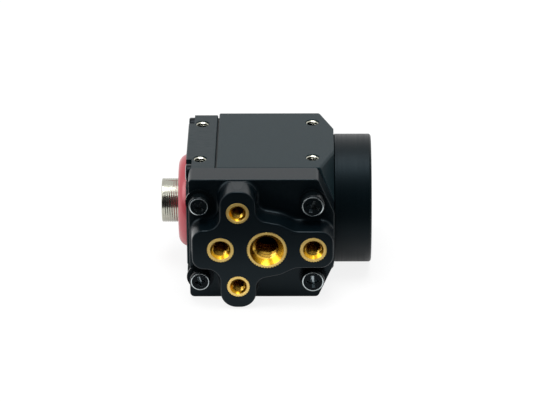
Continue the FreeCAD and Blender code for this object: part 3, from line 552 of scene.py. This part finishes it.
def flank(phase, crest, root, flat):
    """Radius of a thread at a phase of its pitch: root, flank, crest, flank."""
    phase %= 1.0
    rise = 0.5 - flat  # half of the pitch is a flat and a flank up, the other half goes back down
    if phase < flat:
        share = 0.0
    elif phase < flat + rise:
        share = (phase - flat) / rise
    elif phase < 2 * flat + rise:
        share = 1.0
    else:
        share = max(0.0, 1 - (phase - 2 * flat - rise) / rise)
    return root + (crest - root) * share


def thread_rings(crest, root, pitch, low, high, count, flat=THREAD_FLAT):
    """Rings that climb as a right-hand helix between two heights."""
    corners = (0.0, flat, 0.5, 0.5 + flat)
    rings = []
    for turn in range(-SPARE_TURNS, int((high - low) / pitch) + SPARE_TURNS):
        for corner in corners:
            ring = []
            for i in range(count):
                height = low + (turn + corner + i / count) * pitch
                held = min(max(height, low), high)
                phase = (held - low) / pitch - i / count
                ring.append((flank(phase, crest, root, flat), held))
            rings.append(ring)
    return rings


def thread_paint(thread, lit, deep):
    """Paint for an inside thread, from its mouth inwards: the flank that faces the mouth gets the
    painted highlight, every other band the painted shade.
    """
    bands = [lit if step % RINGS_PER_PITCH == RINGS_PER_PITCH - 1 else deep
             for step in range(len(thread) - 1)]
    return bands[::-1] + [deep]


print("a pitch from root to root:", [round(flank(i / 8, 1, 0, THREAD_FLAT), 2) for i in range(9)])

# %% [markdown]
# ## Lens ring
# The ring is as wide as the body. Its front edge is rounded, a bevel marks its joint with the
# housing, and its bore has a one-inch thread that stops before the light path. The CAD ring could
# be kept with a bump for the thread, but a bump gives no real edges at the mouth. So the whole ring
# is one skin, drawn from its inner rear edge round the outside and back through the thread.

# %% Lens ring
MOUNT_LOW, MOUNT_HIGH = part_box("lens_mount_ring")
INCH = 25.4
LENS_PITCH = INCH / 32
LENS_CREST = 12.25
LENS_ROOT = INCH / 2 - 0.02


def lens_ring():
    """Ring with its lens thread."""
    count = 144
    outer = MOUNT_HIGH.z / MM
    back = MOUNT_LOW.x / MM
    joint = HOUSING_HIGH.x / MM
    light_bore, spigot = 10.2, 13.2
    bevel, edge, lead_in = 0.25, 0.6, 0.1
    thread_end = -5.8
    rings = circles(count, (light_bore, back), (spigot, back), (spigot, joint),
                    (outer - bevel, joint), (outer, joint + bevel))
    rings += rounded(count, outer, 0, edge, 6)
    rings += circles(count, (LENS_ROOT + lead_in, 0))
    thread = thread_rings(LENS_CREST, LENS_ROOT, LENS_PITCH, thread_end, -lead_in, count)
    rings += reversed(thread)
    rings += circles(count, (light_bore, thread_end))
    return skin("threaded_lens_ring", rings, (0, 0, 0), (1, 0, 0), [MOUNT_FINISH])


seat(lens_ring(), "mount_anodised", "lens_mount_ring")

# %% [markdown]
# ## Threaded inserts
# Five brass inserts are pressed into the warm plate. A straight knurl holds each one, the tool
# leaves a shallow groove round its mouth, and a wide chamfer leads a screw into the thread. The
# knurl could be a bump too, but then the rim would be a plain circle where it meets the black plate.
# So the rings of the knurl are toothed, with two high and two low points to a tooth.

# %% Threaded inserts
POINTS_PER_TOOTH = 4
KNURL_SHARE = 0.04  # depth of the knurl, as a share of the insert's radius
KNURL_BEVEL = 0.04
RIM_START = 1.6  # the flat rim starts this many knurl depths inside the teeth
GROOVE = 0.06  # depth of the groove, and half its width
CHAMFER_TOP = 0.02  # the chamfer starts this far below the rim
# Each thread is a crest radius, a root radius and a pitch
TRIPOD_THREAD = (2.55, 3.12, INCH / 20)
M4_THREAD = (1.65, 2.0, 0.7)
M3_THREAD = (1.25, 1.5, 0.5)
# Each insert is a thread, a number of teeth and the radius of its mouth
INSERTS = {
    "tripod_insert": (TRIPOD_THREAD, 44, 3.8),
    "m4_insert_rear": (M4_THREAD, 32, 2.3),
    "m4_insert_front": (M4_THREAD, 32, 2.3),
    "m3_insert_upper": (M3_THREAD, 28, 1.9),
    "m3_insert_lower": (M3_THREAD, 28, 1.9)}
INSERT_BRASS = [BRASS_FINISH, CHAMFER_BRASS, PAINTED_HIGHLIGHT_BRASS, PAINTED_SHADE_BRASS]


def knurled(radius, depth, height, count):
    """Ring of a straight knurl: in every tooth, the last two points lie lower."""
    return [(radius - depth * (i % POINTS_PER_TOOTH in (2, 3)), height) for i in range(count)]


def insert(node, thread_size, teeth, mouth):
    """Knurled brass insert, whose mouth is flush with the outside of its boss."""
    crest, root, pitch = thread_size
    low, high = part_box(node)
    outer = (high.x - low.x) / 2 / MM
    depth = (high.y - low.y) / MM
    count = POINTS_PER_TOOTH * teeth
    knurl = KNURL_SHARE * outer
    rings = circles(count, (crest, 0))
    rings += [knurled(outer, knurl, 0, count), knurled(outer, knurl, depth - KNURL_BEVEL, count),
              knurled(outer - KNURL_BEVEL, knurl, depth, count)]
    rings += circles(count, (outer - RIM_START * knurl, depth), (mouth + GROOVE, depth),
                     (mouth, depth - GROOVE), (mouth - GROOVE, depth - CHAMFER_TOP))
    thread = thread_rings(crest, root, pitch, 0, depth - (mouth - crest), count)
    # cut is the chamfer's painted bounce light, lit the thread's painted highlight and deep its
    # painted shade
    brass, cut, lit, deep = range(len(INSERT_BRASS))
    paint = [brass] * (len(rings) - 1) + [cut] + thread_paint(thread, lit, deep)
    rings += reversed(thread)
    centre = (low + high) / 2
    origin = Vector((centre.x, high.y, centre.z))
    return skin("knurled_" + node, rings, origin, (0, -1, 0), INSERT_BRASS, paint)


for node, sizes in INSERTS.items():
    seat(insert(node, *sizes), "brass", node)

# %% [markdown]
# ## Round connector
# The connector's shell is turned brass with nickel over it. Its tip is plain and rounded, and the
# fine thread for the plug's coupling nut starts behind it. At its full depth of about 0.3 mm, the
# thread's steep flanks would mirror only what lies to their sides. So the thread is drawn 0.1 mm
# deep, and its bands mirror the studio above and below, as a plated shell does to the eye.

# %% Round connector
SHELL_CREST, SHELL_ROOT, SHELL_PITCH = 5.0, 4.9, 0.5
SHELL_BORE, SHELL_NECK = 4.0, 4.85
SHELL_TAIL, FLANGE_THICK = 3.0, 1.3  # the tail and the flange lie behind the red cap's face
RIM_STEP = 0.05  # the plain rim is this much lower than the thread


def connector():
    """Shell with its fine outside thread, drawn along the outside and back through the bore."""
    low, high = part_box("connector_shell")
    count = 96
    flange = (high.z - low.z) / 2 / MM
    tip = (high.x - low.x) / MM
    shown = (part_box("back_cap")[0].x - low.x) / MM
    plain_rim, edge, runout = 0.45, 0.2, 0.1
    rim = SHELL_CREST - RIM_STEP
    flange_end = SHELL_TAIL + FLANGE_THICK
    rings = circles(count, (SHELL_BORE, 0), (SHELL_NECK, 0), (SHELL_NECK, SHELL_TAIL),
                    (flange, SHELL_TAIL), (flange, flange_end), (SHELL_NECK, flange_end),
                    (SHELL_NECK, tip - shown - runout))
    rings += thread_rings(SHELL_CREST, SHELL_ROOT, SHELL_PITCH, tip - shown, tip - plain_rim, count)
    rings += circles(count, (rim, tip - plain_rim))
    rings += rounded(count, rim, tip, edge, 4)
    rings += circles(count, (SHELL_BORE + edge, tip), (SHELL_BORE, tip - edge))
    origin = Vector((high.x, (low.y + high.y) / 2, (low.z + high.z) / 2))
    return skin("threaded_connector_shell", rings, origin, (-1, 0, 0), [NICKEL_FINISH])


seat(connector(), "nickel_plate", "connector_shell")

# %% [markdown]
# ## Bare threads in the side holes
# The side holes are tapped after anodising, so their threads are bright aluminium in a black face.
# A brighter finish on the plain CAD holes would make them look smooth. So each open hole gets a thin
# sleeve of thread just inside the CAD hole. Only the flanks that face the mouth are bare aluminium,
# as a painted highlight; the grooves get the housing's black finish as painted shade. The fourth
# side has none, because the tripod plate covers it.

# %% Side-hole threads
GRID = 9.25  # holes and plate screws lie this far from the middle of their side
FRONT_SETBACK = 4.75  # from the front face of the front housing to its holes
REAR_HOLES = -38.15  # in line with the rear column of plate screws
SLEEVE_RADIUS, SLEEVE_ROOT, SLEEVE_DEPTH = 1.497, 1.485, 3.2
SLEEVE_FLAT = 0.2  # wider than usual, which leaves narrower flanks and so finer bright lines
SINK = 0.2  # the thread starts this far below the face


def side_holes():
    """Mouth and outward direction of every open side hole of both housings."""
    across, upright = Vector((0, 1, 0)), Vector((0, 0, 1))
    sides = ((upright, across), (Vector((0, 0, -1)), across), (across, upright))
    stations = (("front_housing", HOUSING_HIGH.x / MM - FRONT_SETBACK),
                ("rear_housing", REAR_HOLES))
    holes = []
    for node, station in stations:
        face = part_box(node)[1].z / MM - SINK
        for outward, lateral in sides:
            for offset in (-GRID, GRID):
                mouth = Vector((station, 0, 0)) + outward * face + lateral * offset
                holes.append((mouth * MM, outward))
    return holes


def side_thread(number, mouth, outward):
    """Sleeve of M3 thread, with painted shade in its grooves and a painted highlight on its flanks.
    """
    count = 48
    crest, _, pitch = M3_THREAD
    # black is the painted shade in the grooves, bright the painted highlight on the flanks
    black, bright = 0, 1
    rings = circles(count, (SLEEVE_RADIUS, -SLEEVE_DEPTH), (SLEEVE_RADIUS, 0))
    thread = thread_rings(crest, SLEEVE_ROOT, pitch, -SLEEVE_DEPTH, 0, count, SLEEVE_FLAT)
    paint = [black] * len(rings) + thread_paint(thread, bright, black)
    rings += reversed(thread)
    return skin("side_thread_%02d" % number, rings, mouth, outward,
                [REAR_FINISH, BARE_ALUMINIUM], paint)


for number, (mouth, outward) in enumerate(side_holes()):
    seat(side_thread(number, mouth, outward), "zinc_steel")

# %% [markdown]
# ## Cross recess
# The heads of the screws are struck with a tapered cross punch. The recess could be drawn with faces
# by hand, but a Boolean does what the punch does: it takes a tapered cross out of the head. It also
# hands the punch's own finish to the walls that it cuts.

# %% Cross punch
# Sizes of the cross as shares of the head's radius, and its depth as a share of the head's height
ARM_HALF_WIDTH, ARM_REACH, RECESS_DEPTH = 0.17, 0.66, 0.62
TAPER = 0.5  # the cross is half as large at its bottom
PUNCH_ABOVE = 0.6  # the punch starts this far above the head


def cross_punch(head, thick):
    """Tapered cross that points down, with the top of the head at its origin."""
    width, reach = head * ARM_HALF_WIDTH, head * ARM_REACH
    outline = [(reach, width), (width, width), (width, reach)]
    for _ in range(3):
        outline += [(-y, x) for x, y in outline[-3:]]
    shape = bmesh.new()
    top = [shape.verts.new(Vector((x, y, PUNCH_ABOVE)) * MM) for x, y in outline]
    bottom = [shape.verts.new(Vector((x * TAPER, y * TAPER, -thick * RECESS_DEPTH)) * MM)
              for x, y in outline]
    count = len(outline)
    for i in range(count):
        after = (i + 1) % count
        shape.faces.new((top[i], top[after], bottom[after], bottom[i]))
    shape.faces.new(top)
    shape.faces.new(reversed(bottom))
    bmesh.ops.recalc_face_normals(shape, faces=shape.faces)
    return new_piece("cross_punch", shape, [RECESS_GLINT_STEEL])


print("recess reaches %.0f %% of the way out" % (100 * ARM_REACH))

# %% [markdown]
# ## Pan-head screws
# A pan head has a flat top and a rounded shoulder, and this one and its shank are one skin. They
# could be two pieces, but then the recess might cut through one into the other. The two bands near
# the top of the shoulder get pale steel as a painted highlight, which gives the head its pale ring.

# %% Pan-head screw
TIP = 0.001  # a ring can't close to a point, so the middle of a flat end is a tiny ring
SHOULDER = 0.22  # radius of the shoulder, as a share of the head's
SHOULDER_STEPS = 8
HIGHLIGHT_STEPS = (5, 6)  # bands of the shoulder that get the painted highlight


def strike(piece, punch):
    """Cuts a punch out of a piece for good, and takes the punch away."""
    cut = piece.modifiers.new("recess", "BOOLEAN")
    cut.object = punch
    cut.operation = "DIFFERENCE"
    cut.solver = "EXACT"
    cut.material_mode = "TRANSFER"
    evaluated = piece.evaluated_get(bpy.context.evaluated_depsgraph_get())
    mesh = bpy.data.meshes.new_from_object(evaluated)
    piece.modifiers.clear()
    piece.data = mesh
    bpy.data.objects.remove(punch)
    mesh.set_sharp_from_angle(angle=SHARP)


def pan_screw(name, seat_point, axis, shank, head, thick, length, spin):
    """One screw, from the point under its head; its head faces along the axis."""
    count = 64
    rings = circles(count, (TIP, -length), (shank, -length), (shank, 0), (head, 0))
    highlighted = [len(rings) + step for step in HIGHLIGHT_STEPS]
    rings += rounded(count, head, thick, SHOULDER * head, SHOULDER_STEPS)
    rings += circles(count, (TIP, thick))
    paint = [int(band in highlighted) for band in range(len(rings))]
    piece = skin(name, rings, seat_point, axis, [SCREW_FINISH, PAINTED_HIGHLIGHT_RING], paint)
    punch = cross_punch(head, thick)
    turn = Vector((0, 0, 1)).rotation_difference(Vector(axis)).to_matrix().to_4x4()
    place = Matrix.Translation(seat_point + Vector(axis) * thick * MM)
    punch.matrix_world = place @ turn @ Matrix.Rotation(spin, 4, "Z")
    bpy.context.view_layer.update()
    strike(piece, punch)
    return piece


print("a shoulder has", SHOULDER_STEPS, "bands, and", len(HIGHLIGHT_STEPS), "of them are worn")

# %% [markdown]
# ## Plate screws and rear screws
# Four screws hold the tripod plate to the threaded holes behind it, and four smaller ones sit in the
# corner notches at the rear. One screw could be copied to all places, but a real row of screws never
# stops at the same angle. So each one is struck for itself, with a spin of its own.

# %% Plate screws and rear screws
CAD_HEAD = 2.75  # radius of the CAD heads, whose edges are the ends of the box
PLATE_THICK, PLATE_SHANK = 2.4, 1.25
PLATE_HEAD_REAR, PLATE_HEAD_FRONT = 2.25, 2.6  # the real heads are a little smaller than the CAD's
PLATE_SPINS = (0.3, 0.9, 0.1, 1.2)
REAR_HEAD, REAR_THICK, REAR_SHANK = 1.9, 1.3, 1.0
REAR_SPIN = 0.4  # each rear screw is turned on by this angle from the one before


def plate_screws():
    """The four black screws that hold the tripod plate."""
    low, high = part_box("plate_screws")
    length = (high.y - low.y) / MM - PLATE_THICK
    columns = ((low.x / MM + CAD_HEAD, PLATE_HEAD_REAR), (high.x / MM - CAD_HEAD, PLATE_HEAD_FRONT))
    places = [(x, z, head) for x, head in columns for z in (-GRID, GRID)]
    for number, ((x, z, head), spin) in enumerate(zip(places, PLATE_SPINS)):
        point = Vector((x, low.y / MM + PLATE_THICK, z)) * MM
        screw = pan_screw("black_screw_%d" % number, point, (0, -1, 0), PLATE_SHANK, head,
                          PLATE_THICK, length, spin)
        seat(screw, "black_steel", "plate_screws")


def rear_screws():
    """The four small black screws in the corner notches."""
    low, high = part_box("rear_screws")
    length = (high.x - low.x) / MM - REAR_THICK
    corner = high.z / MM - REAR_HEAD
    places = [(y, z) for y in (-corner, corner) for z in (-corner, corner)]
    for number, (y, z) in enumerate(places):
        point = Vector((low.x / MM + REAR_THICK, y, z)) * MM
        screw = pan_screw("rear_screw_%d" % number, point, (-1, 0, 0), REAR_SHANK, REAR_HEAD,
                          REAR_THICK, length, REAR_SPIN * number)
        seat(screw, "black_steel", "rear_screws")


plate_screws()
rear_screws()

# %% [markdown]
# ## Pale floor
# The product lies on a white table that runs back as far as the eye can see. More light could make
# the table white, but it would wash out the product too. So the table's own finish changes with who
# looks: the studio camera sees mostly plain white, which leaves a soft shadow, and mirrors see it
# partly white. All other light meets an ordinary pale surface. The studio's sizes are in metres.

# %% Floor
FLOOR_REACH = 20
FLOOR_GAP = 0.02 * MM  # the floor is this far below the lowest face, so that no two faces meet
SEEN_WHITE, MIRRORED_WHITE = 0.85, 0.35  # shares of plain white, to the camera and in mirrors
FLOOR_IOR = 1.3
WHITE = linear("FFFFFF")


def sheet(name, profile, half_width, material):
    """Sheet that runs straight from side to side and follows a profile of (y, z) points."""
    shape = bmesh.new()
    rows = [[shape.verts.new((x, y, z)) for x in (-half_width, half_width)] for y, z in profile]
    for near, far in zip(rows, rows[1:]):
        shape.faces.new((near[0], near[1], far[1], far[0]))
    return new_piece(name, shape, [material])


def floor_finish():
    """Matt white laminate: no gloss, nearly plain white to the eye, and a soft shadow."""
    material, tree, shader = finish("pale_floor", "F4F4F4", 0.9, IOR=FLOOR_IOR)
    rays = add(tree, "ShaderNodeLightPath").outputs
    mirrored = add(tree, "ShaderNodeMath", {0: rays["Is Glossy Ray"], 1: rays["Is Transmission Ray"]},
                   operation="MAXIMUM")
    seen = add(tree, "ShaderNodeMath", {0: rays["Is Camera Ray"], 1: SEEN_WHITE},
               operation="MULTIPLY")
    share = add(tree, "ShaderNodeMath", {0: mirrored.outputs["Value"], 1: MIRRORED_WHITE,
                                         2: seen.outputs["Value"]}, operation="MULTIPLY_ADD")
    white = add(tree, "ShaderNodeEmission", {"Color": WHITE, "Strength": 1.0})
    mixed = add(tree, "ShaderNodeMixShader", {0: share.outputs["Value"], 1: shader.outputs["BSDF"],
                                              2: white.outputs["Emission"]})
    tree.links.new(mixed.outputs["Shader"], tree.nodes["Material Output"].inputs["Surface"])
    return material


FLOOR_HEIGHT = CAD_BOX[0].z - FLOOR_GAP
floor = sheet("studio_floor", [(-FLOOR_REACH, FLOOR_HEIGHT), (FLOOR_REACH, FLOOR_HEIGHT)],
              FLOOR_REACH, floor_finish())
print("floor at %.2f mm" % (FLOOR_HEIGHT / MM))

# %% [markdown]
# ## White sky
# A product table stands in a bright tent or room. Lamps all round could stand for it, but the world
# colour gives the same even light from every side and never makes a spot. It is pure white where it
# is seen or mirrored, and it lights the product with a little over half of that.

# %% Sky
SKY_LIGHT, SKY_SEEN = 0.55, 1.0


def studio_sky():
    """White sky: plain light for the object, pure white where it is seen."""
    world = bpy.data.worlds.new("studio_sky")
    world.use_nodes = True
    tree = world.node_tree
    rays = add(tree, "ShaderNodeLightPath").outputs
    seen = add(tree, "ShaderNodeMath", {0: rays["Is Camera Ray"], 1: rays["Is Glossy Ray"]},
               operation="MAXIMUM")
    seen = add(tree, "ShaderNodeMath", {0: seen.outputs["Value"], 1: rays["Is Transmission Ray"]},
               operation="MAXIMUM")
    strength = add(tree, "ShaderNodeMapRange", {"Value": seen.outputs["Value"],
                                                "To Min": SKY_LIGHT, "To Max": SKY_SEEN})
    tree.links.new(strength.outputs["Result"], tree.nodes["Background"].inputs["Strength"])
    tree.nodes["Background"].inputs["Color"].default_value = WHITE
    bpy.context.scene.world = world
    print("sky lights with %.2f and is seen at %.2f" % (SKY_LIGHT, SKY_SEEN))


studio_sky()

# %% [markdown]
# ## Black cloth
# Dark metal and nickel mirror whatever lies in front of them. Studios lay black cloth there, so that
# dark faces stay dark and bright edges stand out. Darker finishes would look wrong from any other
# side. So a sheet lies in front of the product and hangs behind the studio camera. Only mirrors see
# it: the camera doesn't, and it takes no soft light away and casts no shadow.

# %% Cloth
CLOTH_NEAR, CLOTH_FAR = -0.052, -0.80  # it starts just in front of the product
CLOTH_HALF_WIDTH, CLOTH_TOP = 2.4, 1.0
CLOTH_BEND = 0.03  # size of the sloping step between the lying and the hanging part
CLOTH_HEIGHT = CAD_BOX[0].z
CLOTH_PROFILE = [(CLOTH_NEAR, CLOTH_HEIGHT), (CLOTH_FAR, CLOTH_HEIGHT),
                 (CLOTH_FAR - CLOTH_BEND, CLOTH_HEIGHT + CLOTH_BEND),
                 (CLOTH_FAR - CLOTH_BEND, CLOTH_TOP)]
# Matt black cotton gives a dull black with hardly any gloss
cloth = sheet("black_cloth", CLOTH_PROFILE, CLOTH_HALF_WIDTH,
              plain("black_studio_cloth", "050505", 0.9))
cloth.visible_camera = False
cloth.visible_diffuse = False
cloth.visible_shadow = False
print("cloth is %.1f m wide" % (2 * CLOTH_HALF_WIDTH))

# %% [markdown]
# ## Lamps
# Two soft lamps, one high above and one to the left, draw a line of light on every rounded edge. A
# point lamp would leave a small hard spot there. Square area lamps as large as real softboxes give
# broad, soft highlights and a soft shadow.


# %% Lamps
def soft_lamp(name, place, size, power):
    """Square area lamp aimed at the object's middle, with its size in metres and power in watts."""
    data = bpy.data.lights.new(name, "AREA")
    data.size = size
    data.energy = power
    lamp = bpy.data.objects.new(name, data)
    lamp.location = place
    lamp.rotation_mode = "QUATERNION"
    lamp.rotation_quaternion = (CAMERA_TARGET - Vector(place)).to_track_quat("-Z", "Y")
    bpy.context.scene.collection.objects.link(lamp)
    print(name, "%.1f W" % power)


soft_lamp("top_softbox", (0, -0.04, 0.9), size=0.5, power=7.5)
soft_lamp("left_softbox", (-0.8, -0.35, 0.5), size=0.6, power=3.5)
bpy.context.scene.view_settings.view_transform = "Standard"

# %% Sizes
print("CAD size", [round((high - low) / MM, 1) for low, high in zip(*CAD_BOX)], "mm")
